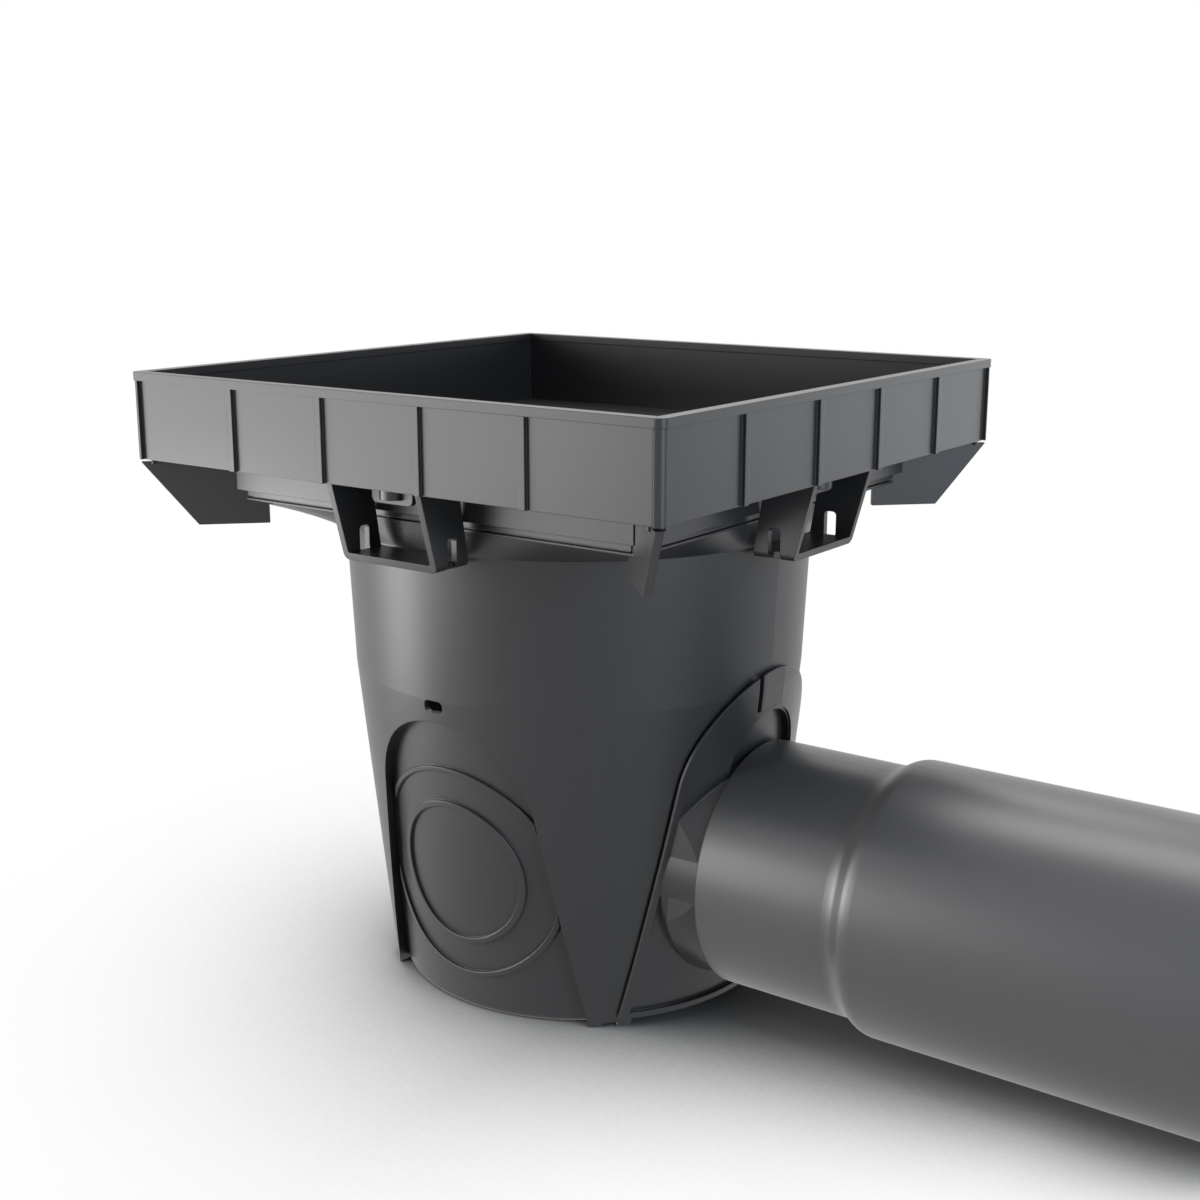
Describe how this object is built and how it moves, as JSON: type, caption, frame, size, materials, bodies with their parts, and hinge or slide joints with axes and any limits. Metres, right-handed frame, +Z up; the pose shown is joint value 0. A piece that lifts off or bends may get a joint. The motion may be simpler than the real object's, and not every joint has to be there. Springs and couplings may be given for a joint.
{
  "type": "gully drain",
  "caption": "Square-topped plastic gully drain: tapered round catch basin with arched knock-out recesses, ribbed grate frame on corner wings, side outlet adapter and pipe.",
  "frame": {"origin": "centre of the basin's flat underside", "axes": "+Z up, +X along the outlet pipe away from the basin"},
  "size_m": [0.534, 0.318, 0.321],
  "materials": {
    "basin_plastic": "satin charcoal polypropylene",
    "frame_plastic": "satin charcoal polypropylene",
    "adapter_plastic": "satin charcoal polypropylene",
    "pipe_plastic": "smooth extruded charcoal plastic"
  },
  "bodies": {
    "root": {"basin_body": "basin_plastic", "top_frame": "frame_plastic", "outlet_adapter": "adapter_plastic", "outlet_pipe": "pipe_plastic"}
  },
  "joints": []
}
